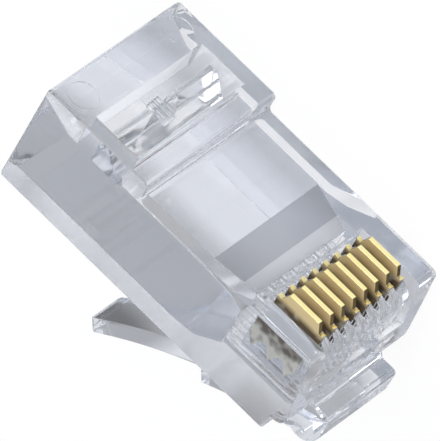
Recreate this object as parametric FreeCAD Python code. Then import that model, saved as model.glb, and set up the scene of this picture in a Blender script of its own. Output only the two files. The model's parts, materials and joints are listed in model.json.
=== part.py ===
import FreeCAD, Part
import math
import os

from FreeCAD import Vector

# Uncrimped 8-position modular plug: a clear moulded housing with its locking
# tab and jacket pawl on living hinges, and eight gold-plated contact blades
# standing proud in their slots.
#
# Moulding axes, in millimetres: x runs from the cable mouth to the nose, y
# across the plug, z from the locking-tab face up to the contact face.
# lay_on_side() turns every finished piece into the stored frame, where the
# plug lies on one flat side: Z = 0 is that side, -Y the contact face, -X the
# nose, and the origin is the middle of the side.

# ---- housing: outer form ----------------------------------------------------
BODY_LENGTH = 21.75         # cable end to the foot of the nose
BODY_WIDTH = 11.68
REAR_HEIGHT = 7.8           # tall block round the cable jacket
FRONT_HEIGHT = 6.5          # low block that enters the jack
REAR_LENGTH = 7.9           # length of the tall block
NOSE_LEAN = 0.45            # the nose's top edge stands this far back
BASE_SETBACK = 0.9          # the two lower corners stop this far short of the nose
BASE_STEP = 1.2             # height of that lower corner step
NOSE_CORNER = 0.6           # plan radius of the nose's upright edges
REAR_CORNER = 0.25          # plan radius of the cable end's upright edges
NOSE_TOP_RADIUS = 0.45
STEP_TOP_RADIUS = 0.3
STEP_ROOT_RADIUS = 0.35
REAR_TOP_RADIUS = 0.3

# ---- housing: walls and cable cavity ----------------------------------------
SIDE_WALL = 1.1
FLOOR_WALL = 0.9
ROOF_WALL = 0.7
JACKET_LENGTH = 13.0        # full-height part of the cavity
FUNNEL_LENGTH = 2.05        # first, shallow part of the wire guide
FUNNEL_DROP = 0.45          # how far its roof comes down
GUIDE_LENGTH = 0.95         # second, steeper part, up to the wire bores
GUIDE_DROP = 0.45
GUIDE_FLOOR_LENGTH = 1.6    # ramp that lifts the floor to the wire bores
MOUTH_DEPTH = 2.3           # flare of the cable mouth at the roof
MOUTH_FOOT_DEPTH = 0.6      # and at the floor
MOUTH_RISE = 1.3
MOUTH_SPREAD = 0.55

# ---- contacts, wire bores and slots -----------------------------------------
CONTACT_COUNT = 8
CONTACT_PITCH = 1.02
BLADE_THICKNESS = 0.32
BLADE_REAR = 16.95          # rear edge of the blades, from the cable end
BLADE_LENGTH = 3.5
BLADE_HEIGHT = 4.0          # tooth tips to the contact edge
CONTACT_STAND = 0.7         # how far an uncrimped blade stands proud
CRIMP_TRAVEL = 1.2
HORN_DROP = 0.6             # the two end horns lie this far below the edge
HORN_LENGTH = 0.3
HORN_DISH = 0.1             # dip between each horn and the ramp beside it
HORN_RADIUS = 0.08
RAMP_LENGTH = 0.3
EDGE_RADIUS = 0.2           # where the ramps meet the contact edge
TOOTH_COUNT = 3
TOOTH_DEPTH = 0.8
TOOTH_GAP = 0.35
SLOT_CLEARANCE = 0.04       # between a blade and each wall of its slot
TIP_CLEARANCE = 0.1         # under the teeth of a crimped blade
WIRE_BORE_RADIUS = 0.46
WIRE_BORE_RISE = 0.3        # wire centres above the tips of crimped teeth
BORE_END_WALL = 0.55        # plastic left at the end of each wire bore
RECESS_DROP = 0.65          # the ribs between contacts lie this far down
RECESS_REAR_GAP = 0.3       # recess starts this far behind the blades
RECESS_SIDE_GAP = 0.72      # recess edge beyond the outer blades' middles
RIB_NOSE_SETBACK = 0.6      # rounded rib ends behind the foot of the nose
RIB_NOSE_RADIUS = 1.3
RIB_FOOT_HEIGHT = 3.05      # foot of the rib ends and of the jack-wire slots
WEB_THICKNESS = 0.4         # plastic that holds the blades' front edges
WEB_DROP = 0.65             # top of that web below the rib tops

# ---- window and jacket pawl -------------------------------------------------
WINDOW_REAR = 2.9
WINDOW_LENGTH = 3.35
PAWL_SIDE_CLEARANCE = 0.1
PAWL_HINGE_SETBACK = 0.25   # hinge axis behind the window's front wall
PAWL_KNUCKLE_RADIUS = 0.36
PAWL_HINGE_CLEARANCE = 0.03
PAWL_REACH = 2.0            # hinge axis to the pawl's upright rear face
PAWL_RISE = 1.6             # hinge axis to the pawl's top edge
PAWL_TOP_LENGTH = 0.4
PAWL_BELLY = 0.35           # underside below the hinge axis
PAWL_EDGE_RADIUS = 0.15
PAWL_LOBE_RADIUS = 0.45
NOTCH_TOP_WIDTH = 2.4
NOTCH_FOOT_WIDTH = 0.9
NOTCH_DEPTH = 1.0
TONGUE_WIDTH = 0.9
TONGUE_OVERHANG = 0.35
TONGUE_HEIGHT = 0.45
TONGUE_GROOVES = 3
TONGUE_GROOVE_WIDTH = 0.1

# ---- locking tab ------------------------------------------------------------
TAB_ROOT_WIDTH = 6.2        # wide part, from the nose to the locking shoulders
TAB_RAIL_WIDTH = 3.4        # narrow part that the finger presses, at the hinge
TAB_TAIL_WIDTH = 2.6        # and at the tail
TAB_TAIL_CORNER = 0.35
TAB_PIVOT_AHEAD = 0.2       # hinge axis ahead of the foot of the nose
TAB_PIVOT_DROP = 0.3        # hinge axis below the tab face of the housing
TAB_KNUCKLE_RADIUS = 1.15
TAB_HINGE_CLEARANCE = 0.03
TAB_REACH = 16.7            # chord of the tab's inner face, hinge to tail
TAB_ANGLE = 29.7            # free angle of that chord
TAB_BOW = 0.9               # rise of the curved inner face over its chord
TAB_RAIL_THICKNESS = 1.3    # narrow part at the hinge
TAB_TAIL_THICKNESS = 0.97   # and at the tail
TAB_ROOT_THICKNESS = 0.85
SHOULDER_REACH = 7.25       # hinge axis to the locking shoulders
TAB_TAIL_RADIUS = 0.3
TAB_FRONT_STAND = 1.4       # the hinge block stands this far ahead of the nose
BLOCK_TOP = 1.25            # height of the hinge block's flat top
BLOCK_RAMP = 0.75           # slope from the nose down to the block
BLOCK_CORNER = 0.3

# ---- small features ---------------------------------------------------------
EJECTOR_RADIUS = 0.95
EJECTOR_DEPTH = 0.06
EJECTOR_INSET = 1.6
EJECTOR_FROM_END = 1.45

# ---- sizes worked out from the values above ---------------------------------
MID_WIDTH = BODY_WIDTH / 2
BASE_LENGTH = BODY_LENGTH - BASE_SETBACK
CAVITY_ROOF = FRONT_HEIGHT - ROOF_WALL
FUNNEL_END = JACKET_LENGTH + FUNNEL_LENGTH
GUIDE_END = FUNNEL_END + GUIDE_LENGTH
CONTACT_EDGE = FRONT_HEIGHT + CONTACT_STAND
TOOTH_TIP = CONTACT_EDGE - BLADE_HEIGHT
CRIMPED_TIP = TOOTH_TIP - CRIMP_TRAVEL
WIRE_HEIGHT = CRIMPED_TIP + WIRE_BORE_RISE
BORE_FLOOR = WIRE_HEIGHT - WIRE_BORE_RADIUS
BLADE_FRONT = BLADE_REAR + BLADE_LENGTH
SLOT_REAR = BLADE_REAR - SLOT_CLEARANCE
SLOT_FRONT = BLADE_FRONT + SLOT_CLEARANCE
SLOT_WIDTH = BLADE_THICKNESS + 2 * SLOT_CLEARANCE
SLOT_FLOOR = CRIMPED_TIP - TIP_CLEARANCE
RIB_TOP = FRONT_HEIGHT - RECESS_DROP
RIB_FRONT = BODY_LENGTH - RIB_NOSE_SETBACK
ROW_HALF = CONTACT_PITCH * (CONTACT_COUNT - 1) / 2
RECESS_HALF = ROW_HALF + RECESS_SIDE_GAP
WINDOW_FRONT = WINDOW_REAR + WINDOW_LENGTH
PAWL_HINGE = Vector(WINDOW_FRONT - PAWL_HINGE_SETBACK, 0, CAVITY_ROOF)
TAB_HINGE = Vector(BODY_LENGTH + TAB_PIVOT_AHEAD, 0, -TAB_PIVOT_DROP)
BLOCK_FRONT = BODY_LENGTH + TAB_FRONT_STAND
OVERCUT = 1.0               # how far cutting tools reach past the surface
TOUCHING = 1e-6             # points nearer than this are one point


# ---- helpers ----------------------------------------------------------------
def corner_arc(before, corner, after, radius):
    """Tangent arc that rounds one corner of a flat outline."""
    back = (before - corner).normalize()
    on = (after - corner).normalize()
    half = back.getAngle(on) / 2
    reach = radius / math.tan(half)
    middle = corner + (back + on).normalize() * (radius / math.sin(half) - radius)
    return Part.Arc(corner + back * reach, middle, corner + on * reach)


def outline_face(points):
    """Flat face of corner points, each (Vector, radius), with radius 0 sharp."""
    arcs = []
    for i, (corner, radius) in enumerate(points):
        before = points[i - 1][0]
        after = points[(i + 1) % len(points)][0]
        arcs.append(corner_arc(before, corner, after, radius) if radius else None)
    edges = []
    for i, (corner, radius) in enumerate(points):
        following = (i + 1) % len(points)
        start = arcs[i].EndPoint if radius else corner
        end = arcs[following].StartPoint if arcs[following] else points[following][0]
        if radius:
            edges.append(arcs[i].toShape())
        if start.distanceToPoint(end) > TOUCHING:
            edges.append(Part.makeLine(start, end))
    return Part.Face(Part.Wire(edges))


def side_prism(outline, width, middle=MID_WIDTH):
    """Prism of a side outline of (x, z, radius), centred across the plug."""
    start = middle - width / 2
    points = [(Vector(x, start, z), radius) for x, z, radius in outline]
    return outline_face(points).extrude(Vector(0, width, 0))


def plan_prism(outline, bottom, top):
    """Prism of a plan outline of (x, y, radius), between two heights."""
    points = [(Vector(x, y, bottom), radius) for x, y, radius in outline]
    return outline_face(points).extrude(Vector(0, 0, top - bottom))


def cross_box(x_from, x_to, z_from, z_to, width, middle=MID_WIDTH):
    """Box centred across the plug."""
    corner = Vector(x_from, middle - width / 2, z_from)
    return Part.makeBox(x_to - x_from, width, z_to - z_from, corner)


def cross_cylinder(axis_point, radius, width):
    """Cylinder that lies across the plug."""
    start = Vector(axis_point.x, MID_WIDTH - width / 2, axis_point.z)
    return Part.makeCylinder(radius, width, start, Vector(0, 1, 0))


def contact_middle(index):
    """Place across the plug of one contact, counted from 0 in pin order."""
    return MID_WIDTH + ROW_HALF - index * CONTACT_PITCH


def lay_on_side(shape):
    """From the moulding axes to the stored frame."""
    turn = FreeCAD.Matrix(
        -1, 0, 0, BODY_LENGTH / 2,
        0, 0, -1, FRONT_HEIGHT / 2,
        0, -1, 0, BODY_WIDTH,
        0, 0, 0, 1,
    )
    laid = shape.copy()
    laid.Placement = FreeCAD.Placement(turn)
    return laid


# ---- housing ----------------------------------------------------------------
def outer_body():
    """Tall rear block and low front block, with the leaning nose."""
    side = [
        (0, 0, REAR_CORNER),
        (BASE_LENGTH, 0, REAR_CORNER),
        (BASE_LENGTH, BASE_STEP, 0),
        (BODY_LENGTH, BASE_STEP, REAR_CORNER),
        (BODY_LENGTH - NOSE_LEAN, FRONT_HEIGHT, NOSE_TOP_RADIUS),
        (REAR_LENGTH, FRONT_HEIGHT, STEP_ROOT_RADIUS),
        (REAR_LENGTH, REAR_HEIGHT, STEP_TOP_RADIUS),
        (0, REAR_HEIGHT, REAR_TOP_RADIUS),
    ]
    plan = [
        (0, 0, REAR_CORNER),
        (BODY_LENGTH, 0, NOSE_CORNER),
        (BODY_LENGTH, BODY_WIDTH, NOSE_CORNER),
        (0, BODY_WIDTH, REAR_CORNER),
    ]
    tall = REAR_HEIGHT + OVERCUT
    return side_prism(side, BODY_WIDTH).common(plan_prism(plan, -OVERCUT, tall))


def hinge_block():
    """Block under the nose that carries the locking tab's hinge."""
    outline = [
        (BASE_LENGTH - OVERCUT, 0, 0),
        (BLOCK_FRONT, 0, 0),
        (BLOCK_FRONT, BLOCK_TOP, BLOCK_CORNER),
        (BODY_LENGTH + BLOCK_CORNER, BLOCK_TOP, 0),
        (BODY_LENGTH - BLOCK_CORNER, BLOCK_TOP + BLOCK_RAMP, 0),
        (BASE_LENGTH - OVERCUT, BLOCK_TOP + BLOCK_RAMP, 0),
    ]
    return side_prism(outline, TAB_ROOT_WIDTH)


def cable_cavity():
    """Jacket space, and the guide that brings eight wires into one row."""
    funnel_roof = CAVITY_ROOF - FUNNEL_DROP
    outline = [
        (-OVERCUT, FLOOR_WALL, 0),
        (GUIDE_END - GUIDE_FLOOR_LENGTH, FLOOR_WALL, 0),
        (GUIDE_END, BORE_FLOOR, 0),
        (GUIDE_END, funnel_roof - GUIDE_DROP, 0),
        (FUNNEL_END, funnel_roof, 0),
        (JACKET_LENGTH, CAVITY_ROOF, 0),
        (-OVERCUT, CAVITY_ROOF, 0),
    ]
    near = SIDE_WALL
    far = BODY_WIDTH - SIDE_WALL
    row_near = MID_WIDTH - ROW_HALF - WIRE_BORE_RADIUS
    row_far = MID_WIDTH + ROW_HALF + WIRE_BORE_RADIUS
    plan = [
        (-OVERCUT, near, 0),
        (JACKET_LENGTH, near, 0),
        (GUIDE_END, row_near, 0),
        (GUIDE_END, row_far, 0),
        (JACKET_LENGTH, far, 0),
        (-OVERCUT, far, 0),
    ]
    walls = plan_prism(plan, 0, FRONT_HEIGHT)
    return side_prism(outline, BODY_WIDTH).common(walls)


def mouth_flare():
    """Flared mouth, deep at the roof and shallow at the floor."""
    near = SIDE_WALL
    far = BODY_WIDTH - SIDE_WALL
    top = CAVITY_ROOF + MOUTH_RISE
    outer = [
        Vector(0, near - MOUTH_SPREAD, FLOOR_WALL),
        Vector(0, far + MOUTH_SPREAD, FLOOR_WALL),
        Vector(0, far + MOUTH_SPREAD, top),
        Vector(0, near - MOUTH_SPREAD, top),
    ]
    inner = [
        Vector(MOUTH_FOOT_DEPTH, near, FLOOR_WALL),
        Vector(MOUTH_FOOT_DEPTH, far, FLOOR_WALL),
        Vector(MOUTH_DEPTH, far, CAVITY_ROOF),
        Vector(MOUTH_DEPTH, near, CAVITY_ROOF),
    ]
    wires = [Part.makePolygon(ring + ring[:1]) for ring in (outer, inner)]
    return Part.makeLoft(wires, True, True)


def contact_recess():
    """Lowered field of ribs, open at the nose, with rounded rib ends."""
    outline = [
        (BLADE_REAR - RECESS_REAR_GAP, RIB_TOP, 0),
        (RIB_FRONT, RIB_TOP, RIB_NOSE_RADIUS),
        (RIB_FRONT, RIB_FOOT_HEIGHT, 0),
        (BODY_LENGTH + OVERCUT, RIB_FOOT_HEIGHT, 0),
        (BODY_LENGTH + OVERCUT, FRONT_HEIGHT + OVERCUT, 0),
        (BLADE_REAR - RECESS_REAR_GAP, FRONT_HEIGHT + OVERCUT, 0),
    ]
    return side_prism(outline, 2 * RECESS_HALF)


def contact_slot(middle):
    """Slot for one blade, with a web ahead of it and an open front end."""
    top = FRONT_HEIGHT + OVERCUT
    web_top = RIB_TOP - WEB_DROP
    web_front = SLOT_FRONT + WEB_THICKNESS
    outline = [
        (SLOT_REAR, SLOT_FLOOR, 0),
        (SLOT_FRONT, SLOT_FLOOR, 0),
        (SLOT_FRONT, web_top, 0),
        (web_front, web_top, 0),
        (web_front, RIB_FOOT_HEIGHT, 0),
        (BODY_LENGTH + OVERCUT, RIB_FOOT_HEIGHT, 0),
        (BODY_LENGTH + OVERCUT, top, 0),
        (SLOT_REAR, top, 0),
    ]
    return side_prism(outline, SLOT_WIDTH, middle)


def wire_bore(middle):
    """Blind round bore for one wire."""
    start = Vector(FUNNEL_END, middle, WIRE_HEIGHT)
    depth = BODY_LENGTH - BORE_END_WALL - FUNNEL_END
    return Part.makeCylinder(WIRE_BORE_RADIUS, depth, start, Vector(1, 0, 0))


def pawl_window():
    """Opening over the jacket space, with the round seat of the pawl's hinge."""
    width = BODY_WIDTH - 2 * SIDE_WALL
    opening = cross_box(WINDOW_REAR, WINDOW_FRONT, FLOOR_WALL, REAR_HEIGHT + OVERCUT, width)
    seat = cross_cylinder(PAWL_HINGE, PAWL_KNUCKLE_RADIUS + PAWL_HINGE_CLEARANCE, width)
    return opening.fuse(seat)


def ejector_mark(middle):
    """Shallow round mark of a mould pin."""
    start = Vector(EJECTOR_FROM_END, middle, REAR_HEIGHT - EJECTOR_DEPTH)
    return Part.makeCylinder(EJECTOR_RADIUS, OVERCUT, start, Vector(0, 0, 1))


def tab_seat():
    """Round seat of the locking tab's hinge."""
    radius = TAB_KNUCKLE_RADIUS + TAB_HINGE_CLEARANCE
    return cross_cylinder(TAB_HINGE, radius, TAB_ROOT_WIDTH + 2 * TAB_HINGE_CLEARANCE)


def housing():
    body = outer_body().fuse(hinge_block())
    cuts = [cable_cavity(), mouth_flare(), pawl_window(), contact_recess(), tab_seat()]
    for index in range(CONTACT_COUNT):
        cuts.append(contact_slot(contact_middle(index)))
        cuts.append(wire_bore(contact_middle(index)))
    for middle in (EJECTOR_INSET, BODY_WIDTH - EJECTOR_INSET):
        cuts.append(ejector_mark(middle))
    for cut in cuts:
        body = body.cut(cut)
    return body.removeSplitter()


# ---- contacts ---------------------------------------------------------------
def contact_blade(middle):
    """Stamped blade: proud edge with two end horns above, piercing teeth below."""
    horn = CONTACT_EDGE - HORN_DROP
    shoulder = TOOTH_TIP + TOOTH_DEPTH
    edge_from = BLADE_REAR + HORN_LENGTH + RAMP_LENGTH
    edge_to = BLADE_FRONT - HORN_LENGTH - RAMP_LENGTH
    outline = [
        (BLADE_FRONT, shoulder, 0),
        (BLADE_FRONT, horn, HORN_RADIUS),
        (BLADE_FRONT - HORN_LENGTH, horn - HORN_DISH, HORN_RADIUS),
        (edge_to, CONTACT_EDGE, EDGE_RADIUS),
        (edge_from, CONTACT_EDGE, EDGE_RADIUS),
        (BLADE_REAR + HORN_LENGTH, horn - HORN_DISH, HORN_RADIUS),
        (BLADE_REAR, horn, HORN_RADIUS),
        (BLADE_REAR, shoulder, 0),
    ]
    pitch = (BLADE_LENGTH + TOOTH_GAP) / TOOTH_COUNT
    for tooth in range(TOOTH_COUNT):
        start = BLADE_REAR + tooth * pitch
        end = start + pitch - TOOTH_GAP
        if tooth:
            outline.append((start, shoulder, 0))
        outline.append(((start + end) / 2, TOOTH_TIP, 0))
        if tooth < TOOTH_COUNT - 1:
            outline.append((end, shoulder, 0))
    return side_prism(outline, BLADE_THICKNESS, middle)


# ---- jacket pawl ------------------------------------------------------------
def jacket_pawl():
    """Wedge that the crimping tool folds down on to the cable jacket."""
    width = BODY_WIDTH - 2 * (SIDE_WALL + PAWL_SIDE_CLEARANCE)
    rear = PAWL_HINGE.x - PAWL_REACH
    top = PAWL_HINGE.z + PAWL_RISE
    belly = PAWL_HINGE.z - PAWL_BELLY
    outline = [
        (PAWL_HINGE.x, belly, 0),
        (PAWL_HINGE.x, PAWL_HINGE.z, 0),
        (PAWL_HINGE.x - PAWL_KNUCKLE_RADIUS, PAWL_HINGE.z, 0),
        (rear + PAWL_TOP_LENGTH, top, PAWL_EDGE_RADIUS),
        (rear, top, PAWL_EDGE_RADIUS),
        (rear, belly, PAWL_EDGE_RADIUS),
    ]
    wedge = side_prism(outline, width)
    lobes = wedge.common(lobe_outline(width, belly, top))
    knuckle = cross_cylinder(PAWL_HINGE, PAWL_KNUCKLE_RADIUS, width)
    return lobes.fuse([knuckle, ribbed_tongue(rear, top)]).removeSplitter()


def lobe_outline(width, belly, top):
    """Two rounded lobes with a notch between them, seen along the plug."""
    start = MID_WIDTH - width / 2
    end = MID_WIDTH + width / 2
    foot = top - NOTCH_DEPTH
    corners = [
        (start, belly - OVERCUT, 0),
        (end, belly - OVERCUT, 0),
        (end, top, PAWL_LOBE_RADIUS),
        (MID_WIDTH + NOTCH_TOP_WIDTH / 2, top, PAWL_LOBE_RADIUS),
        (MID_WIDTH + NOTCH_FOOT_WIDTH / 2, foot, 0),
        (MID_WIDTH - NOTCH_FOOT_WIDTH / 2, foot, 0),
        (MID_WIDTH - NOTCH_TOP_WIDTH / 2, top, PAWL_LOBE_RADIUS),
        (start, top, PAWL_LOBE_RADIUS),
    ]
    points = [(Vector(WINDOW_REAR, y, z), radius) for y, z, radius in corners]
    return outline_face(points).extrude(Vector(WINDOW_LENGTH + OVERCUT, 0, 0))


def ribbed_tongue(rear, top):
    """Grooved tongue in the notch, what is left of the break-off bridge."""
    foot = top - NOTCH_DEPTH
    tongue = cross_box(rear - TONGUE_OVERHANG, rear + PAWL_REACH / 2, foot, foot + TONGUE_HEIGHT,
                       TONGUE_WIDTH)
    pitch = TONGUE_WIDTH / (TONGUE_GROOVES + 1)
    for groove in range(TONGUE_GROOVES):
        middle = MID_WIDTH - TONGUE_WIDTH / 2 + (groove + 1) * pitch
        tongue = tongue.cut(cross_box(rear - OVERCUT, rear + PAWL_REACH, foot + TONGUE_HEIGHT / 2,
                                      top, TONGUE_GROOVE_WIDTH, middle))
    return tongue


# ---- locking tab ------------------------------------------------------------
def tab_point(reach, depth):
    """Point at a reach along the tab's chord and a depth under it."""
    angle = math.radians(TAB_ANGLE)
    along = Vector(-math.cos(angle), 0, -math.sin(angle))
    down = Vector(math.sin(angle), 0, -math.cos(angle))
    return TAB_HINGE + along * reach + down * depth


def tab_strip(reach, thickness, end_thickness, width):
    """Bowed strip from the hinge to a reach, thinning evenly to its end."""
    def depth_of(at, under):
        bow = TAB_BOW * (1 - (2 * at / TAB_REACH - 1) ** 2)
        return (thickness + (end_thickness - thickness) * at / reach) * under - bow

    def face_arc(under):
        ends = [tab_point(at, depth_of(at, under)) for at in (0, reach / 2, reach)]
        return Part.Arc(*ends)

    inner = face_arc(0)
    outer = face_arc(1)
    edges = [
        inner.toShape(),
        Part.makeLine(inner.EndPoint, outer.EndPoint),
        outer.toShape(),
        Part.makeLine(outer.StartPoint, inner.StartPoint),
    ]
    face = Part.Face(Part.Wire(edges))
    face.translate(Vector(0, MID_WIDTH - width / 2, 0))
    return face.extrude(Vector(0, width, 0))


def tab_plan(outline):
    """Prism through the tab of a plan outline of (reach, across, radius)."""
    above = TAB_BOW + OVERCUT
    points = []
    for reach, across, radius in outline:
        points.append((tab_point(reach, -above) + Vector(0, MID_WIDTH + across, 0), radius))
    return outline_face(points).extrude(tab_point(0, 2 * above) - tab_point(0, -OVERCUT))


def tab_tail():
    """Narrow part of the tab, tapered in plan and rounded all round its end."""
    strip = tab_strip(TAB_REACH, TAB_RAIL_THICKNESS, TAB_TAIL_THICKNESS, TAB_RAIL_WIDTH)
    end = tab_point(TAB_REACH, TAB_TAIL_THICKNESS / 2)
    across = [edge for edge in strip.Edges if edge.BoundBox.YLength > TAB_RAIL_WIDTH - TOUCHING]
    across.sort(key=lambda edge: math.hypot(edge.BoundBox.XMin - end.x, edge.BoundBox.ZMin - end.z))
    rounded = strip.makeFillet(TAB_TAIL_RADIUS, across[:2])
    rail = TAB_RAIL_WIDTH / 2
    tail = TAB_TAIL_WIDTH / 2
    plan = [
        (0, -rail, 0),
        (TAB_REACH, -tail, TAB_TAIL_CORNER),
        (TAB_REACH, tail, TAB_TAIL_CORNER),
        (0, rail, 0),
    ]
    return rounded.common(tab_plan(plan))


def locking_tab():
    """Sprung tab: knuckle, wide root up to the shoulders, narrow tail."""
    knuckle = cross_cylinder(TAB_HINGE, TAB_KNUCKLE_RADIUS, TAB_ROOT_WIDTH)
    root = tab_strip(SHOULDER_REACH, TAB_ROOT_THICKNESS, TAB_ROOT_THICKNESS, TAB_ROOT_WIDTH)
    return knuckle.fuse([root, tab_tail()]).removeSplitter()


def write(name, shape):
    os.makedirs("parts", exist_ok=True)
    laid = lay_on_side(shape)
    laid.exportStep("parts/" + name + ".step")
    print(name, "solids", len(laid.Solids), "valid", laid.isValid(), "volume", round(laid.Volume, 3))


write("housing", housing())
write("locking_tab", locking_tab())
write("jacket_pawl", jacket_pawl())
for number in range(CONTACT_COUNT):
    write("contact_" + str(number + 1), contact_blade(contact_middle(number)))
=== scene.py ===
# %% [markdown]
# # A clear modular plug, dressed for the studio
# The plug is a small moulding of clear polycarbonate with eight gold-plated
# contact blades pressed half way into it. The CAD model gives every piece its
# place. This lesson gives the same pieces rounded moulded edges, a continuous
# hinge between the body and its locking tab, and procedural finishes.

import json
import math

import bmesh
import bpy
from mathutils import Matrix, Vector


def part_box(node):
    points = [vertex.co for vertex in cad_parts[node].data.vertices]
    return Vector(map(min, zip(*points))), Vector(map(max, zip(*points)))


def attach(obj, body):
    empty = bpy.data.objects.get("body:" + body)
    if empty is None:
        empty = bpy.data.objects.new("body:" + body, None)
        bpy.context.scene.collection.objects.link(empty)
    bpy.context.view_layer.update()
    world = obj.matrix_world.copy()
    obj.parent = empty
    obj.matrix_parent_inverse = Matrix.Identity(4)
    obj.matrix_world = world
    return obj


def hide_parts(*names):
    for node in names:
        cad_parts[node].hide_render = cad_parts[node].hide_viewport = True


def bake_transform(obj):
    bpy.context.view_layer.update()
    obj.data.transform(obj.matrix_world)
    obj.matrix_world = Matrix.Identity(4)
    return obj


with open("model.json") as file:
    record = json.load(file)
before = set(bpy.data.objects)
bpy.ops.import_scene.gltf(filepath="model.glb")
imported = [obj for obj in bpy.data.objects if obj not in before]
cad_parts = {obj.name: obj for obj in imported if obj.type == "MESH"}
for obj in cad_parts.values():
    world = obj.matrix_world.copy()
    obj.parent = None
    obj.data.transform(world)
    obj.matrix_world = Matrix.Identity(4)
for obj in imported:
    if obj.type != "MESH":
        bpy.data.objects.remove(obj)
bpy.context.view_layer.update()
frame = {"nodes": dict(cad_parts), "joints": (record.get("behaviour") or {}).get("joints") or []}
scene = bpy.context.scene
MM = 0.001                  # a millimetre in metres
print("CAD nodes:", sorted(frame["nodes"]))

# %% [markdown]
# ## The camera
# A long lens from far away keeps the plug's edges nearly parallel, as in a
# catalogue. The camera is aimed first and then rolled about its own axis,
# which is easier to read than three Euler angles. It comes before the pieces.

# %% Camera
CAMERA_AIM = Vector((0.786, 1.827, 3.978)) * MM
CAMERA_DISTANCE = 641.8 * MM
CAMERA_AZIMUTH = math.radians(-15.78)
CAMERA_ELEVATION = math.radians(40.99)
CAMERA_ROLL = math.radians(-125.44)
LENS_MM = 937.2
SENSOR_MM = 36.0

towards_camera = Vector((
    math.sin(CAMERA_AZIMUTH) * math.cos(CAMERA_ELEVATION),
    -math.cos(CAMERA_AZIMUTH) * math.cos(CAMERA_ELEVATION),
    math.sin(CAMERA_ELEVATION),
))
camera = bpy.data.objects.new("camera", bpy.data.cameras.new("camera"))
scene.collection.objects.link(camera)
camera.data.sensor_fit = "HORIZONTAL"
camera.data.sensor_width = SENSOR_MM
camera.data.lens = LENS_MM
aimed = towards_camera.to_track_quat("Z", "Y").to_matrix().to_4x4()
camera.matrix_world = (
    Matrix.Translation(CAMERA_AIM + towards_camera * CAMERA_DISTANCE)
    @ aimed
    @ Matrix.Rotation(CAMERA_ROLL, 4, "Z")
)
scene.camera = camera
print("camera at", [round(c, 4) for c in camera.matrix_world.translation], "m")

# %% [markdown]
# ## Three small helpers for materials
# Colours are written as the hex values a screen shows, and one function turns
# them into the linear numbers that the renderer works with. The next adds a
# node, sets its sockets and links it, so each recipe below reads as a list.
# The last starts an empty material.


# %% Material helpers
def linear(hex_colour):
    """Linear RGBA of an sRGB hex colour."""
    channels = []
    for start in (0, 2, 4):
        value = int(hex_colour[start:start + 2], 16) / 255
        channels.append(value / 12.92 if value <= 0.04045 else ((value + 0.055) / 1.055) ** 2.4)
    return (*channels, 1.0)


def add_node(tree, kind, links=None, **settings):
    """Adds a node. Settings name its properties or sockets; links feed sockets from
    another socket, from a node's first output or with a plain number or colour."""
    node = tree.nodes.new(kind)
    for name, value in settings.items():
        if hasattr(node, name):
            setattr(node, name, value)
        else:
            node.inputs[name.replace("_", " ")].default_value = value
    for name, source in (links or {}).items():
        if isinstance(source, (float, tuple)):
            node.inputs[name].default_value = source
        else:
            output = source.outputs[0] if isinstance(source, bpy.types.Node) else source
            tree.links.new(output, node.inputs[name])
    return node


def new_material(name):
    """Empty node material, and its tree."""
    material = bpy.data.materials.new(name)
    material.use_nodes = True
    material.node_tree.nodes.clear()
    return material, material.node_tree


print("a mid grey of the screen, 808080, is", round(linear("808080")[0], 3), "in linear light")

# %% [markdown]
# ## Clear polycarbonate
# Body, tab and pawl are injection-moulded polycarbonate. It bends light more
# than window glass does (IOR 1.585), and in a thick piece it looks very
# slightly blue. Its surfaces are polished like the mould but never quite flat:
# the melt shrinks a little between thick and thin places, so reflections
# wander, and handling leaves fine hairlines. A Glass shader could do this, but
# Principled with full transmission keeps colour, roughness and IOR together.

# %% Polished polycarbonate
# To the eye: a bright, sharp gloss with soft wavering, and clear sight through.
POLYCARBONATE_IOR = 1.585
SHRINK_WAVE = 1.6           # mm between soft shrink waves
SHRINK_DEPTH = 0.006        # mm
HAIRLINE = 0.12             # mm between hairlines, coarser than real ones so that they show
HAIRLINE_DEPTH = 0.001      # mm
HAIRLINE_STRETCH = (0.12, 1.0, 1.0)     # drawn out along the plug

polycarbonate, tree = new_material("clear_moulded_polycarbonate")
place = add_node(tree, "ShaderNodeTexCoord").outputs["Object"]
waves = add_node(
    tree, "ShaderNodeTexNoise", {"Vector": place}, Scale=1 / (SHRINK_WAVE * MM), Detail=2.0,
)
streaks = add_node(tree, "ShaderNodeMapping", {"Vector": place}, Scale=HAIRLINE_STRETCH)
hairlines = add_node(
    tree, "ShaderNodeTexNoise", {"Vector": streaks}, Scale=1 / (HAIRLINE * MM), Detail=4.0,
)
haze = add_node(
    tree, "ShaderNodeMapRange", {"Value": hairlines},
    From_Min=0.55, From_Max=0.8, To_Min=0.0, To_Max=0.05,
)
soft_bump = add_node(
    tree, "ShaderNodeBump", {"Height": waves}, Strength=0.3, Distance=SHRINK_DEPTH * MM,
)
fine_bump = add_node(
    tree, "ShaderNodeBump", {"Height": hairlines, "Normal": soft_bump},
    Strength=0.03, Distance=HAIRLINE_DEPTH * MM,
)
plastic = add_node(
    tree, "ShaderNodeBsdfPrincipled", {"Roughness": haze, "Normal": fine_bump},
    Base_Color=linear("f4f6fb"), IOR=POLYCARBONATE_IOR, Transmission_Weight=1.0,
)
add_node(tree, "ShaderNodeOutputMaterial", {"Surface": plastic})
print("polished polycarbonate nodes:", len(tree.nodes))

# %% [markdown]
# ## Satin places of the moulding
# A mould is polished only where the customer looks. Its cores and inserts are
# spark eroded and keep a fine pitted skin, which the plastic copies. On this
# plug those places are the sloping roof of the wire guide, the walls of the
# eight wire bores, the comb in front of the blades, and the whole tab face.
# They scatter what is seen through them, which is why a real plug shows soft
# grey bands instead of a tangle of reflections. One recipe makes them all:
# a pit pattern drives both the roughness and a small bump, and each gets a
# tint colour; the grey tint of the shallow ramp is painted shade.

# %% Recipe for spark-eroded polycarbonate
SPARK_PIT = 0.1             # mm between pits; real ones are finer and wouldn't show
PIT_DEPTH = 0.004           # mm


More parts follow.
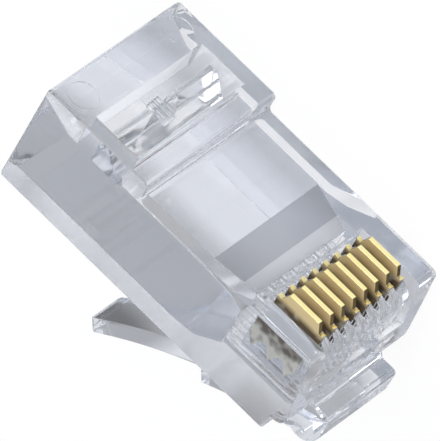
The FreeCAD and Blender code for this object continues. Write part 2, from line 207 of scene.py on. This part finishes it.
def etched_polycarbonate(name, colour, smoothest, roughest, clear=1.0):
    """Polycarbonate with the pitted skin of a spark-eroded mould."""
    material, tree = new_material(name)
    place = add_node(tree, "ShaderNodeTexCoord").outputs["Object"]
    pits = add_node(
        tree, "ShaderNodeTexNoise", {"Vector": place}, Scale=1 / (SPARK_PIT * MM), Detail=3.0,
    )
    satin = add_node(
        tree, "ShaderNodeMapRange", {"Value": pits}, To_Min=smoothest, To_Max=roughest,
    )
    bump = add_node(
        tree, "ShaderNodeBump", {"Height": pits}, Strength=0.03, Distance=PIT_DEPTH * MM,
    )
    plastic = add_node(
        tree, "ShaderNodeBsdfPrincipled", {"Roughness": satin, "Normal": bump},
        Base_Color=linear(colour), IOR=POLYCARBONATE_IOR, Transmission_Weight=clear,
    )
    add_node(tree, "ShaderNodeOutputMaterial", {"Surface": plastic})
    print(name, "roughness", smoothest, "to", roughest)
    return material


print("pits per mm:", round(1 / SPARK_PIT, 1))

# %% The six satin finishes
# The first, shallow ramp over the wires: eroded, and tinted grey as painted shade, it reads as a
# grey band.
shade_tinted_ramp = etched_polycarbonate(
    "shade_tinted_eroded_polycarbonate", "a9adb5", smoothest=0.25, roughest=0.45,
)
# The second, steeper ramp: the same eroded skin without the painted shade, it reads as a pale
# band.
pale_ramp = etched_polycarbonate(
    "pale_eroded_polycarbonate", "ffffff", smoothest=0.3, roughest=0.5,
)
# Wire bores, pulled off long core pins: they blur into one soft tone.
bore_wall = etched_polycarbonate(
    "core_pin_polycarbonate", "ffffff", smoothest=0.15, roughest=0.25,
)
# The comb: finely eroded, its ribs stay separate but lose their glitter.
comb_face = etched_polycarbonate(
    "fine_eroded_polycarbonate", "ffffff", smoothest=0.1, roughest=0.2,
)
# The tab face: a satin back wall behind everything seen through the plug.
tab_face = etched_polycarbonate(
    "satin_back_polycarbonate", "ffffff", smoothest=0.17, roughest=0.19,
)
# The pawl: a little cloudy, because its thin web whitens as soon as it is bent.
cloudy_pawl = etched_polycarbonate(
    "stress_clouded_polycarbonate", "fafbfd", smoothest=0.05, roughest=0.15, clear=0.95,
)

# %% [markdown]
# ## Gold flash over nickel
# The blades are stamped from phosphor bronze and nickel plated all over. Gold
# is dear, so only the edge that touches the jack is dipped in it. The rolled
# top of that edge is smooth, and its paler gold is a painted highlight; the
# sheared ramps at its ends are painted dark brown as shade, and the flat sides
# keep the fine upright drag lines of the die. Below the dip line the nickel
# shows, clouded by stains that also carry painted glints, and with a warm tint
# painted in as the gold's reflection. The way a face looks and how deep it
# lies tell these places apart, so one material dresses the whole blade and no
# face is chosen by hand.

# %% Plated blade: where each finish lies
# To the eye: pale bright edge lines with a painted highlight, satin gold flats,
# end ramps darkened as painted shade, and greyer metal deeper down.
DRAG_LINE = 0.06            # mm between drag lines on the flat sides
DRAG_STRETCH = (1.0, 0.15, 1.0)         # drawn out up and down the blade
PATCH = 0.9                 # mm across the soft patches in the gold
GOLD_ENDS, NICKEL_STARTS = -3.35, -2.95     # mm, the dip line across a blade
MATH = "ShaderNodeMath"

plating, tree = new_material("gold_flash_over_nickel")
spot = add_node(tree, "ShaderNodeTexCoord")
place = spot.outputs["Object"]
drag = add_node(tree, "ShaderNodeMapping", {"Vector": place}, Scale=DRAG_STRETCH)
lines = add_node(
    tree, "ShaderNodeTexNoise", {"Vector": drag}, Scale=1 / (DRAG_LINE * MM), Detail=3.0,
)
patches = add_node(
    tree, "ShaderNodeTexNoise", {"Vector": place}, Scale=1 / (PATCH * MM), Detail=2.0,
)
faces_to = add_node(tree, "ShaderNodeSeparateXYZ", {0: spot.outputs["Normal"]})
flat = add_node(tree, MATH, {0: faces_to.outputs["Z"]}, operation="ABSOLUTE")
side = add_node(tree, "ShaderNodeMapRange", {"Value": flat}, From_Min=0.6, From_Max=0.95)
# Faces that lean along the plug, the end ramps, take painted shade.
lean = add_node(tree, MATH, {0: faces_to.outputs["X"]}, operation="ABSOLUTE")
ramp_shade_mask = add_node(tree, "ShaderNodeMapRange", {"Value": lean}, From_Min=0.25, From_Max=0.6)
depth = add_node(tree, "ShaderNodeSeparateXYZ", {0: place}).outputs["Y"]
dipped = add_node(
    tree, "ShaderNodeMapRange", {"Value": depth},
    From_Min=GOLD_ENDS * MM, From_Max=NICKEL_STARTS * MM,
)
print("gold fades into nickel over", round(NICKEL_STARTS - GOLD_ENDS, 2), "mm")

# %% Plated blade: colours
# A Mix node's colour sockets share their names with others, so they go by number.
FACTOR, COLOUR_A, COLOUR_B = 0, 6, 7
MIXED_COLOUR = 2
STAIN_AND_GLINT = 0.7                 # mm across the cloudy stains that plating leaves on nickel, with painted glints on their pale side
DARK_ABOVE, PALE_BELOW = -2.4, -0.6     # mm; painted paler towards the teeth, darker near the dip line

# The top edge's pale gold, with soft patches, is a painted highlight.
painted_top_highlight = add_node(
    tree, "ShaderNodeMix",
    {FACTOR: patches, COLOUR_A: linear("fff6bc"), COLOUR_B: linear("ffeda0")},
    data_type="RGBA",
)
# The end ramps are painted dark brown: painted shade.
painted_ramp_shade = add_node(
    tree, "ShaderNodeMix",
    {FACTOR: ramp_shade_mask, COLOUR_A: painted_top_highlight.outputs[MIXED_COLOUR], COLOUR_B: linear("66522a")},
    data_type="RGBA",
)
gold = add_node(
    tree, "ShaderNodeMix",
    {FACTOR: side, COLOUR_A: painted_ramp_shade.outputs[MIXED_COLOUR], COLOUR_B: linear("ecd6a4")},
    data_type="RGBA",
)
# Stain patches, whose pale side is painted glints.
stains_and_glints = add_node(
    tree, "ShaderNodeTexNoise", {"Vector": place}, Scale=1 / (STAIN_AND_GLINT * MM), Detail=1.0,
)
sunk = add_node(
    tree, "ShaderNodeMapRange", {"Value": depth},
    From_Min=DARK_ABOVE * MM, From_Max=PALE_BELOW * MM, To_Min=-0.2, To_Max=0.2,
)
cloud = add_node(tree, MATH, {0: stains_and_glints, 1: sunk}, operation="ADD")
stain_and_glint_mask = add_node(
    tree, "ShaderNodeMapRange", {"Value": cloud}, From_Min=0.35, From_Max=0.65,
)
# Dark nickel painted warm as a reflection of the gold, and pale painted glints.
nickel = add_node(
    tree, "ShaderNodeMix",
    {FACTOR: stain_and_glint_mask, COLOUR_A: linear("796850"), COLOUR_B: linear("fffaea")},
    data_type="RGBA",
)
metals = add_node(
    tree, "ShaderNodeMix",
    {FACTOR: dipped, COLOUR_A: gold.outputs[MIXED_COLOUR],
     COLOUR_B: nickel.outputs[MIXED_COLOUR]},
    data_type="RGBA",
)
print("nodes with the colours:", len(tree.nodes))

# %% Plated blade: gloss
NUMBER_A, NUMBER_B = 2, 3   # the sockets of a Mix node for plain numbers
DRAG_DEPTH = 0.003          # mm

smooth = add_node(tree, "ShaderNodeMapRange", {"Value": lines}, To_Min=0.06, To_Max=0.16)
satin = add_node(tree, "ShaderNodeMapRange", {"Value": lines}, To_Min=0.5, To_Max=0.7)
film = add_node(tree, "ShaderNodeMapRange", {"Value": side}, To_Min=1.0, To_Max=0.6)
wear = add_node(
    tree, "ShaderNodeMix", {FACTOR: side, NUMBER_A: smooth, NUMBER_B: satin},
    data_type="FLOAT",
)
grain = add_node(
    tree, "ShaderNodeBump", {"Height": lines}, Strength=0.15, Distance=DRAG_DEPTH * MM,
)
metal = add_node(
    tree, "ShaderNodeBsdfPrincipled",
    {"Base Color": metals.outputs[MIXED_COLOUR], "Roughness": wear, "Metallic": film,
     "Normal": grain},
)
add_node(tree, "ShaderNodeOutputMaterial", {"Surface": metal})
print("blade material nodes:", len(tree.nodes))

# %% [markdown]
# ## Moulded edges
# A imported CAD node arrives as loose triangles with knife-sharp edges. A copy
# is merged into one skin, flat areas are joined back into whole faces, and the
# long sharp edges get a tiny round, because those rounds are what a clear
# moulding draws its bright outlines with. Skins are worked in millimetres and
# shrunk to metres at the end: Blender's mesh tools have fixed tolerances, and
# on a part this small they would cut its big faces into wrong triangles.

# %% Skins
FLAT_TURN = math.radians(0.4)       # faces that turn by less are one flat


def skin_of(mesh, scale=1.0, merge=0.001):
    """Editable skin of a mesh, with points nearer than the merge distance made one."""
    skin = bmesh.new()
    skin.from_mesh(mesh)
    bmesh.ops.scale(skin, vec=(scale, scale, scale), verts=skin.verts)
    bmesh.ops.remove_doubles(skin, verts=skin.verts, dist=merge)
    return skin


def cad_skin(node):
    """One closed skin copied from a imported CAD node, in millimetres."""
    return skin_of(frame["nodes"][node].data, 1 / MM)


def join_flats(skin):
    """Joins coplanar triangles back into whole flat faces."""
    bmesh.ops.dissolve_limit(
        skin, angle_limit=FLAT_TURN, verts=skin.verts, edges=skin.edges,
        use_dissolve_boundaries=False, delimit={"NORMAL"},
    )


def open_edges(skin):
    """How many edges don't join exactly two faces; a closed skin has none."""
    return sum(1 for edge in skin.edges if len(edge.link_faces) != 2)


def area_of(skin):
    """Area of the whole skin in its own unit."""
    return sum(face.calc_area() for face in skin.faces)


sample = cad_skin("contact_1")
print("a packed blade has", len(sample.faces), "triangles,", open_edges(sample), "open edges")
sample.free()

# %% Rounds on edges
ROUND_TURN = math.radians(35)       # edges that turn by less stay without a round
BUSY_FACE = 60              # corners of a face with curved cut-outs
BUSY_SHORTEST = 2.0         # mm; shorter edges of such a face have no room for a round


def round_edges(skin, radius, shortest):
    """Rounds the sharp edges that are long enough to carry the round."""
    skin.normal_update()
    sharp = []
    for edge in skin.edges:
        busy = max(len(face.verts) for face in edge.link_faces) > BUSY_FACE
        long_enough = edge.calc_length() > (BUSY_SHORTEST if busy else shortest)
        if long_enough and edge.calc_face_angle(0.0) > ROUND_TURN:
            sharp.append(edge)
    bmesh.ops.bevel(
        skin, geom=sharp, offset=radius, offset_type="OFFSET", segments=2, profile=0.5,
        affect="EDGES", clamp_overlap=False,
    )
    return len(sharp)


print("edges that turn by more than", round(math.degrees(ROUND_TURN)), "degrees get a round")

# %% [markdown]
# ## From skin to finished piece
# Clear plastic shows every fault of its shading, so a piece is shaded smooth
# across its rounds but crisp where two large flats meet, even at a few
# degrees. The Weighted Normal modifier then turns the normals of each round
# towards its large neighbours, so that flats stay flat to the eye. It is
# applied at once, and the mesh is shrunk to metres last.

# %% Pieces
FLAT_AREA = 2.0             # mm2; two such faces meet in a crisp edge
FLATS_TURN = math.radians(8)        # where that edge turns by more than this
CRISP_TURN = math.radians(50)       # any edge that turns by more is crisp


def mark_sharp(skin):
    """Sharp edges: steep ones, and those between two large flats."""
    for edge in skin.edges:
        both_flat = min(face.calc_area() for face in edge.link_faces) > FLAT_AREA
        edge.smooth = edge.calc_face_angle(0.0) < (FLATS_TURN if both_flat else CRISP_TURN)


def piece_from(skin, name, *materials):
    """Object in metres made of a skin in millimetres, smooth but for its sharp edges."""
    mesh = bpy.data.meshes.new(name)
    skin.normal_update()
    area = area_of(skin)
    mark_sharp(skin)
    bmesh.ops.triangulate(skin, faces=[face for face in skin.faces if len(face.verts) > 4])
    print(name, "faces", len(skin.faces), "area in mm2", round(area, 2),
          "once cut", round(area_of(skin), 2))
    for face in skin.faces:
        face.smooth = True
    skin.to_mesh(mesh)
    skin.free()
    for material in materials:
        mesh.materials.append(material)
    piece = bpy.data.objects.new(name, mesh)
    scene.collection.objects.link(piece)
    weigh = piece.modifiers.new("flat_faces_first", "WEIGHTED_NORMAL")
    weigh.mode = "FACE_AREA"
    weigh.weight = 100      # the largest face at a corner decides alone
    weigh.keep_sharp = True
    graph = bpy.context.evaluated_depsgraph_get()
    piece.data = bpy.data.meshes.new_from_object(piece.evaluated_get(graph))
    piece.modifiers.clear()
    piece.data.transform(Matrix.Scale(MM, 4))
    return piece


print("flats over", FLAT_AREA, "mm2 meet crisply past", round(math.degrees(FLATS_TURN)), "degrees")

# %% [markdown]
# ## One moulding: body and locking tab
# On the real plug the tab is not a separate part. It grows out of the block
# under the nose through a thin living hinge. The two CAD nodes are joined here
# with a filler in the hinge's running gap, so that light crosses the hinge
# without a seam.

# %% Sizes of the hinge
HINGE_GAP = 0.03            # mm, the running gap between knuckle and seat
FILLER_REACH = HINGE_GAP * 1.3      # mm past the knuckle, so that it bites into the seat
tab_joint = next(joint for joint in frame["joints"] if joint["child"] == "locking_tab")
hinge = Vector(tab_joint["pos_m"]) / MM
tab_low, tab_high = (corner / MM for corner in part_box("locking_tab"))
knuckle_radius = hinge.x - tab_low.x
knuckle_width = tab_high.z - tab_low.z
print("knuckle radius and width in mm:", round(knuckle_radius, 3), round(knuckle_width, 3))

# %% Body, filler and tab in one skin
SLIVER = 0.02               # mm; the join leaves slivers that are narrower than this
filler = bmesh.new()
bmesh.ops.create_cone(
    filler, cap_ends=True, segments=96, radius1=knuckle_radius + FILLER_REACH,
    radius2=knuckle_radius + FILLER_REACH, depth=knuckle_width,
    matrix=Matrix.Translation((hinge.x, hinge.y, (tab_low.z + tab_high.z) / 2)),
)
blanks = {}
for name, skin in (
    ("body", cad_skin("housing")), ("tab", cad_skin("locking_tab")), ("filler", filler),
):
    mesh = bpy.data.meshes.new(name)
    print(name, "faces", len(skin.faces), "open edges", open_edges(skin))
    skin.to_mesh(mesh)
    skin.free()
    blanks[name] = bpy.data.objects.new(name, mesh)
    scene.collection.objects.link(blanks[name])
for tool in ("filler", "tab"):
    union = blanks["body"].modifiers.new("join_" + tool, "BOOLEAN")
    union.operation = "UNION"
    union.solver = "MANIFOLD"
    union.object = blanks[tool]
graph = bpy.context.evaluated_depsgraph_get()
joined = bpy.data.meshes.new_from_object(blanks["body"].evaluated_get(graph))
skin = skin_of(joined, merge=SLIVER)
for blank in blanks.values():
    bpy.data.objects.remove(blank)
print("joined faces", len(skin.faces), "open edges", open_edges(skin))
join_flats(skin)
print("after joining flats", len(skin.faces), "open edges", open_edges(skin))

# %% [markdown]
# ## Which faces are satin
# The satin places are found on the joined skin by where each face lies and
# which way it looks, before the edges are rounded. Painting faces by hand
# would have to be done again after each change to the model. The limits are
# distances in the model's own frame, so they only need a change if the wire
# guide, the bores or the comb move there. In that frame the nose points to -X,
# the tab lies on the +Y side, and Z runs across the row of blades.

# %% Limits of the satin places
GUIDE = (-5.3, -1.9)        # mm along the plug, where the wire guide's roof slopes
RAMP_SMALLEST = 1.0         # mm2; smaller faces there are corners
RAMP_STEEP = 0.3            # the shallow ramp leans less along the plug, the steep one more
BORES = (-10.4, -5.1)       # mm along the plug, the eight wire bores
BORES_UP = (0.4, 1.5)       # mm, the bores' lowest and highest faces
BORES_ACROSS = (1.6, 10.1)  # mm, from the first bore to the last
COMB = (-10.8, -9.3)        # mm along the plug, the comb in front of the blades
COMB_UP = (-3.2, 0.3)       # mm, its lowest and highest faces
COMB_LARGEST = 6.0          # mm2; larger faces there are outer walls
TAB_FACE_ABOVE = 3.2        # mm, the height of the face that the tab lies over
TAB_FACE_SMALLEST = 100.0   # mm2


def between(value, limits):
    """True inside the two limits."""
    return limits[0] < value < limits[1]


print("the bores are", round(BORES[1] - BORES[0], 2), "mm long")

# %% Satin faces
# The bare numbers are parts of a face's normal, where 1 means straight along an axis.
slots = ("polished", "shade_tinted_ramp", "pale_ramp", "bore_wall", "comb_face", "tab_face")
areas = dict.fromkeys(slots, 0.0)
for face in skin.faces:
    lean, middle, area = face.normal, face.calc_center_median(), face.calc_area()
    looks_to_cable = lean.y > 0.7 and lean.x > 0.1
    finish = "polished"
    # The shallow ramp takes the grey tint that is painted shade.
    if looks_to_cable and between(middle.x, GUIDE) and area > RAMP_SMALLEST:
        finish = "shade_tinted_ramp" if lean.x < RAMP_STEEP else "pale_ramp"
    elif between(middle.x, BORES) and between(middle.y, BORES_UP) and abs(lean.x) < 0.5:
        finish = "bore_wall" if between(middle.z, BORES_ACROSS) else "polished"
    elif (between(middle.x, COMB) and between(middle.y, COMB_UP)
            and abs(lean.z) < 0.5 and area < COMB_LARGEST):
        finish = "comb_face"
    elif lean.y > 0.9 and middle.y > TAB_FACE_ABOVE and area > TAB_FACE_SMALLEST:
        finish = "tab_face"
    face.material_index = slots.index(finish)
    areas[finish] += area
print("faces in mm2:", {finish: round(area, 1) for finish, area in areas.items()})

# %% [markdown]
# ## Rounds on the joined body
# A living hinge has no axle: a thin strip of the tab bends. The joined skin
# gets its moulded rounds here and becomes one piece with its six finishes.

# %% Rounded body
MOULD_ROUND = 0.05          # mm, the round that a polished mould leaves on an edge
SHORTEST_EDGE = 0.3         # mm; shorter edges have no room for a round

rounded = round_edges(skin, MOULD_ROUND, SHORTEST_EDGE)
print("rounded edges", rounded, "open edges", open_edges(skin))
clear_body = piece_from(
    skin, "clear_body_with_tab",
    polycarbonate, shade_tinted_ramp, pale_ramp, bore_wall, comb_face, tab_face,
)
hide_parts("housing", "locking_tab")
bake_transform(clear_body)

# %% [markdown]
# ## Jacket pawl
# The pawl in the window hangs on a thin web until the crimping tool snaps it
# down on the cable. It stays a piece of its own on its own body, because it
# turns through 40 degrees, where one bent mesh would tear. Its skin comes from
# the CAD node as the body's does, with rounds that suit a smaller piece.

# %% Jacket pawl
PAWL_ROUND = 0.04           # mm
skin = cad_skin("jacket_pawl")
join_flats(skin)
rounded = round_edges(skin, PAWL_ROUND, SHORTEST_EDGE)
print("pawl rounded edges", rounded, "open edges", open_edges(skin))
pawl = piece_from(skin, "clear_jacket_pawl", cloudy_pawl)
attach(pawl, "jacket_pawl")
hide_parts("jacket_pawl")

# %% [markdown]
# ## Contact blades
# A blade is stamped from 0.32 mm strip. Its contact edge is one straight run
# with a ramp and a small horn at each end, and its lower edge is a row of
# teeth that pierce the wires. Both edges follow a rule along the blade, so
# Geometry Nodes draw them: a fine grid one row high, whose top row takes the
# height of the contact edge and whose bottom row takes the teeth, is then
# given the strip's thickness. A polygon typed by hand would also do, but the
# rule keeps the number of teeth and their depth as plain inputs.

# %% Blade tree: inputs
# All lengths in this tree are in millimetres.
BLADE_COLUMNS = 211         # 210 steps put a column on every corner of horns and teeth
blade_tree = bpy.data.node_groups.new("stamped_blade", "GeometryNodeTree")
blade_tree.is_modifier = True
blade_inputs = {}
for name, kind, value in (
    ("Rear end", "NodeSocketFloat", 0.0),
    ("Length", "NodeSocketFloat", 3.5),
    ("Contact edge", "NodeSocketFloat", 0.0),
    ("Tooth tips", "NodeSocketFloat", 0.0),
    ("Side", "NodeSocketFloat", 0.0),
    ("Thickness", "NodeSocketFloat", 0.32),
    ("Horn length", "NodeSocketFloat", 0.3),
    ("Horn drop", "NodeSocketFloat", 0.6),
    ("Horn dish", "NodeSocketFloat", 0.1),
    ("Ramp length", "NodeSocketFloat", 0.3),
    ("Tooth count", "NodeSocketFloat", 3.0),
    ("Tooth depth", "NodeSocketFloat", 0.8),
    ("Tooth gap", "NodeSocketFloat", 0.35),
    ("Finish", "NodeSocketMaterial", None),
):
    socket = blade_tree.interface.new_socket(name, in_out="INPUT", socket_type=kind)
    if value is not None:
        socket.default_value = value
    blade_inputs[name] = socket.identifier
blade_tree.interface.new_socket(
    "Geometry", in_out="OUTPUT", socket_type="NodeSocketGeometry",
)
given = blade_tree.nodes.new("NodeGroupInput").outputs
print("blade inputs:", list(blade_inputs))

# %% Blade tree: upper edge
RAMP_BLEND = 0.12           # mm, the soft turn from the ramp into the contact edge
sheet = add_node(
    blade_tree, "GeometryNodeMeshGrid", {"Size X": given["Length"]},
    Vertices_X=BLADE_COLUMNS, Vertices_Y=2, Size_Y=1.0,
)
position = add_node(blade_tree, "GeometryNodeInputPosition")
spot = add_node(blade_tree, "ShaderNodeSeparateXYZ", {0: position})
half = add_node(blade_tree, MATH, {0: given["Length"], 1: 0.5}, operation="MULTIPLY")
along = add_node(blade_tree, MATH, {0: spot, 1: half}, operation="ADD")
left = add_node(blade_tree, MATH, {0: given["Length"], 1: along}, operation="SUBTRACT")
from_end = add_node(blade_tree, MATH, {0: along, 1: left}, operation="MINIMUM")
dish = add_node(
    blade_tree, "ShaderNodeMapRange",
    {"Value": from_end, "From Max": given["Horn length"], "To Max": given["Horn dish"]},
)
past_horn = add_node(
    blade_tree, MATH, {0: from_end, 1: given["Horn length"]}, operation="SUBTRACT",
)
full_climb = add_node(
    blade_tree, MATH, {0: given["Horn drop"], 1: given["Horn dish"]}, operation="ADD",
)
climb = add_node(
    blade_tree, "ShaderNodeMapRange",
    {"Value": past_horn, "From Max": given["Ramp length"], "To Max": full_climb},
    clamp=False,
)
ramp = add_node(blade_tree, MATH, {0: climb, 1: 0.0}, operation="MAXIMUM")
rise = add_node(blade_tree, MATH, {0: ramp, 1: dish}, operation="SUBTRACT")
upper = add_node(
    blade_tree, MATH, {0: rise, 1: given["Horn drop"], 2: RAMP_BLEND},
    operation="SMOOTH_MIN",
)
print("nodes after the upper edge:", len(blade_tree.nodes))

# %% Blade tree: teeth
span = add_node(blade_tree, MATH, {0: given["Length"], 1: given["Tooth gap"]}, operation="ADD")
pitch = add_node(blade_tree, MATH, {0: span, 1: given["Tooth count"]}, operation="DIVIDE")
tooth_length = add_node(
    blade_tree, MATH, {0: pitch, 1: given["Tooth gap"]}, operation="SUBTRACT",
)
half_tooth = add_node(blade_tree, MATH, {0: tooth_length, 1: 0.5}, operation="MULTIPLY")
in_pitch = add_node(blade_tree, MATH, {0: along, 1: pitch}, operation="MODULO")
off_tip = add_node(blade_tree, MATH, {0: in_pitch, 1: half_tooth}, operation="SUBTRACT")
from_tip = add_node(blade_tree, MATH, {0: off_tip}, operation="ABSOLUTE")
slope = add_node(blade_tree, MATH, {0: from_tip, 1: half_tooth}, operation="DIVIDE")
above_tip = add_node(blade_tree, MATH, {0: slope, 1: 1.0}, operation="MINIMUM")
print("nodes after the teeth:", len(blade_tree.nodes))

# %% Blade tree: outline
# The contact edge faces -Y, so the top row is the one at negative Y.
drop = add_node(blade_tree, MATH, {0: given["Horn drop"], 1: upper}, operation="SUBTRACT")
top_y = add_node(blade_tree, MATH, {0: given["Contact edge"], 1: drop}, operation="ADD")
lift = add_node(
    blade_tree, MATH, {0: given["Tooth depth"], 1: above_tip}, operation="MULTIPLY",
)
foot_y = add_node(blade_tree, MATH, {0: given["Tooth tips"], 1: lift}, operation="SUBTRACT")
is_top = add_node(blade_tree, MATH, {0: spot.outputs["Y"], 1: 0.0}, operation="LESS_THAN")
y = add_node(
    blade_tree, "GeometryNodeSwitch", {"Switch": is_top, "False": foot_y, "True": top_y},
    input_type="FLOAT",
)
x = add_node(blade_tree, MATH, {0: given["Rear end"], 1: along}, operation="SUBTRACT")
corner = add_node(blade_tree, "ShaderNodeCombineXYZ", {"X": x, "Y": y, "Z": given["Side"]})
shaped = add_node(
    blade_tree, "GeometryNodeSetPosition", {"Geometry": sheet, "Position": corner},
)
print("nodes after the outline:", len(blade_tree.nodes))

# %% Blade tree: solid blade
# Realize Instances and Set Material come last, so the tree gives one plain dressed mesh.
WELD = 0.0005               # mm; points nearer than this become one
through = add_node(blade_tree, "ShaderNodeCombineXYZ", {"Z": given["Thickness"]})
raised = add_node(
    blade_tree, "GeometryNodeExtrudeMesh", {"Mesh": shaped, "Offset": through},
    Individual=False,
)
under = add_node(blade_tree, "GeometryNodeFlipFaces", {"Mesh": shaped})
both = add_node(blade_tree, "GeometryNodeJoinGeometry", {0: raised})
blade_tree.links.new(under.outputs[0], both.inputs[0])
closed = add_node(
    blade_tree, "GeometryNodeMergeByDistance", {"Geometry": both}, Distance=WELD,
)
real = add_node(blade_tree, "GeometryNodeRealizeInstances", {"Geometry": closed})
plated = add_node(
    blade_tree, "GeometryNodeSetMaterial", {"Geometry": real, "Material": given["Finish"]},
)
add_node(blade_tree, "NodeGroupOutput", {"Geometry": plated})
print("nodes of the blade tree:", len(blade_tree.nodes))

# %% [markdown]
# ## Stamping the blades
# Each CAD contact's box says where its blade lies and how large it is. The
# tree stamps one blade to that box on a holder that is thrown away after, and
# the stamped mesh gets tiny rounds, as tumbling gives the real ones. Eight
# copies of one mesh would do as well, but the boxes keep the CAD in charge.

# %% Stamp the eight blades
STAMPING_ROUND = 0.025      # mm
for number in range(1, 9):
    node = "contact_" + str(number)
    low, high = (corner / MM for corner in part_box(node))
    holder = bpy.data.objects.new("holder", bpy.data.meshes.new("holder"))
    scene.collection.objects.link(holder)
    press = holder.modifiers.new("stamp", "NODES")
    press.node_group = blade_tree
    for name, value in (
        ("Rear end", high.x), ("Length", high.x - low.x), ("Contact edge", low.y),
        ("Tooth tips", high.y), ("Side", low.z), ("Thickness", high.z - low.z),
        ("Finish", plating),
    ):
        press[blade_inputs[name]] = value
    graph = bpy.context.evaluated_depsgraph_get()
    stamped = bpy.data.meshes.new_from_object(holder.evaluated_get(graph))
    bpy.data.objects.remove(holder)
    skin = skin_of(stamped)
    join_flats(skin)
    round_edges(skin, STAMPING_ROUND, 0.0)
    print(node, "open edges", open_edges(skin), "volume in mm3", round(skin.calc_volume(), 3))
    blade = piece_from(skin, "blade_" + str(number), plating)
    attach(blade, node)
    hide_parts(node)

# %% [markdown]
# ## White board
# The plug lies on matt white board, as small parts do in a catalogue. The
# board is one flat face with a faint paper grain. Light Path gives the camera
# plain white, never brighter than 1. Mirror and clear rays get a glow too, or
# the plastic would show a grey room instead of the board, but a glow takes no
# shadow. Round a clear moulding the board is far from even: a pale patch where
# the plastic gathers light, then the shadow of the rear block and the tab. So
# that glow follows a ramp of levels across the board, none brighter than the
# board itself. Real caustics would find those levels too, at many times the
# render time.

# %% White board material
# To the eye: plain white paper that goes softly grey under the plug.
BACKLIGHT = 0.93            # share of the board's white that the plug's shadow can't take
SHADE = (                   # (mm across the board, level); the tab lies towards positive values
    (-60, 0.5), (-20, 1.0), (-5, 1.0), (-3.3, 0.7), (-1, 0.55), (1, 0.8), (7.5, 0.85),
    (9.5, 0.42), (16, 0.42), (18.5, 0.05), (26, 0.05), (60, 0.7),
)
SHADE_TINT = (0.98, 0.99, 1.01)     # shade on white paper is a touch blue
NEAR, FAR = SHADE[0][0], SHADE[-1][0]
PAPER_GRAIN = 0.5           # mm between the paper's fibres, as coarse as shows
PAPER_DEPTH = 0.01          # mm

board, tree = new_material("white_matt_board")
place = add_node(tree, "ShaderNodeTexCoord").outputs["Object"]
paper = add_node(
    tree, "ShaderNodeTexNoise", {"Vector": place}, Scale=1 / (PAPER_GRAIN * MM),
)
fibre = add_node(
    tree, "ShaderNodeBump", {"Height": paper}, Strength=0.03, Distance=PAPER_DEPTH * MM,
)
sheet = add_node(tree, "ShaderNodeBsdfDiffuse", {"Normal": fibre}, Color=linear("fafafa"))
across = add_node(tree, "ShaderNodeSeparateXYZ", {0: place}).outputs["Y"]
along = add_node(
    tree, "ShaderNodeMapRange", {"Value": across}, From_Min=NEAR * MM, From_Max=FAR * MM,
)
shade = add_node(tree, "ShaderNodeValToRGB", {"Fac": along})
stops = shade.color_ramp.elements
while len(stops) < len(SHADE):
    stops.new(0.5)
for stop, (distance, level) in zip(stops, SHADE):
    stop.position = (distance - NEAR) / (FAR - NEAR)
    stop.color = (*(channel * level for channel in SHADE_TINT), 1)
print("levels across the board:", len(stops), "over", FAR - NEAR, "mm")

# %% What each ray sees
ray = add_node(tree, "ShaderNodeLightPath").outputs
mirrored = add_node(
    tree, MATH, {0: ray["Is Glossy Ray"], 1: ray["Is Transmission Ray"]}, operation="MAXIMUM",
)
shown = add_node(tree, MATH, {0: mirrored, 1: ray["Is Camera Ray"]}, operation="MAXIMUM")
tone = add_node(
    tree, "ShaderNodeMix",
    {FACTOR: ray["Is Camera Ray"], COLOUR_A: shade, COLOUR_B: linear("ffffff")},
    data_type="RGBA",
)
glow = add_node(
    tree, "ShaderNodeEmission", {"Color": tone.outputs[MIXED_COLOUR]}, Strength=1.0,
)
share = add_node(tree, MATH, {0: shown, 1: BACKLIGHT}, operation="MULTIPLY")
lit = add_node(tree, "ShaderNodeMixShader", {0: share, 1: sheet, 2: glow})
add_node(tree, "ShaderNodeOutputMaterial", {"Surface": lit})
print("board material nodes:", len(tree.nodes))

# %% Floor
BOARD_HALF = 1500           # mm, half of the board's side
BOARD_LEVEL = -0.02         # mm; a hair under the plug
skin = bmesh.new()
bmesh.ops.create_grid(
    skin, x_segments=1, y_segments=1, size=BOARD_HALF,
    matrix=Matrix.Translation((0, 0, BOARD_LEVEL)),
)
floor = piece_from(skin, "floor", board)

# %% [markdown]
# ## Lamps and room
# A large soft box at the front right draws the long highlights and lights the
# gold. It stands high, so that its glare on the plug's flat side goes up and
# not to a viewer behind. A weaker one overhead lifts the top faces. Both are
# big for their distance, so their edges stay soft in the plastic. The room is a
# dim, cool grey: its reflection gives a clear moulding its darker outlines.

# %% Lamps
def soft_box(name, direction, distance, size, power):
    """Square soft box that faces the plug from a direction; metres and watts."""
    lamp = bpy.data.lights.new(name, "AREA")
    lamp.shape = "SQUARE"
    lamp.size = size
    lamp.energy = power
    holder = bpy.data.objects.new(name, lamp)
    scene.collection.objects.link(holder)
    towards = Vector(direction).normalized()
    holder.location = towards * distance
    holder.rotation_mode = "QUATERNION"
    holder.rotation_quaternion = towards.to_track_quat("Z", "Y")
    holder.visible_camera = False
    print(name, "of", size, "m and", power, "W at", [round(c, 2) for c in holder.location], "m")


soft_box("front_soft_box", (0.20, -0.70, 0.80), distance=0.9, size=0.8, power=6.0)
soft_box("top_soft_box", (-0.2, 0.1, 1.0), distance=0.9, size=0.5, power=2.5)

# %% Room and light paths
ROOM_LEVEL = 0.6
room = bpy.data.worlds.new("room")
scene.world = room
room.use_nodes = True
room.node_tree.nodes.clear()
room_glow = add_node(
    room.node_tree, "ShaderNodeBackground", Color=linear("d2d8e2"), Strength=ROOM_LEVEL,
)
add_node(room.node_tree, "ShaderNodeOutputWorld", {"Surface": room_glow})

scene.view_settings.view_transform = "Standard"
# Light crosses many walls of a clear moulding before it reaches the eye.
scene.cycles.max_bounces = 32
scene.cycles.glossy_bounces = 24
scene.cycles.transmission_bounces = 32
print("room level", ROOM_LEVEL, "and up to", scene.cycles.max_bounces, "bounces")
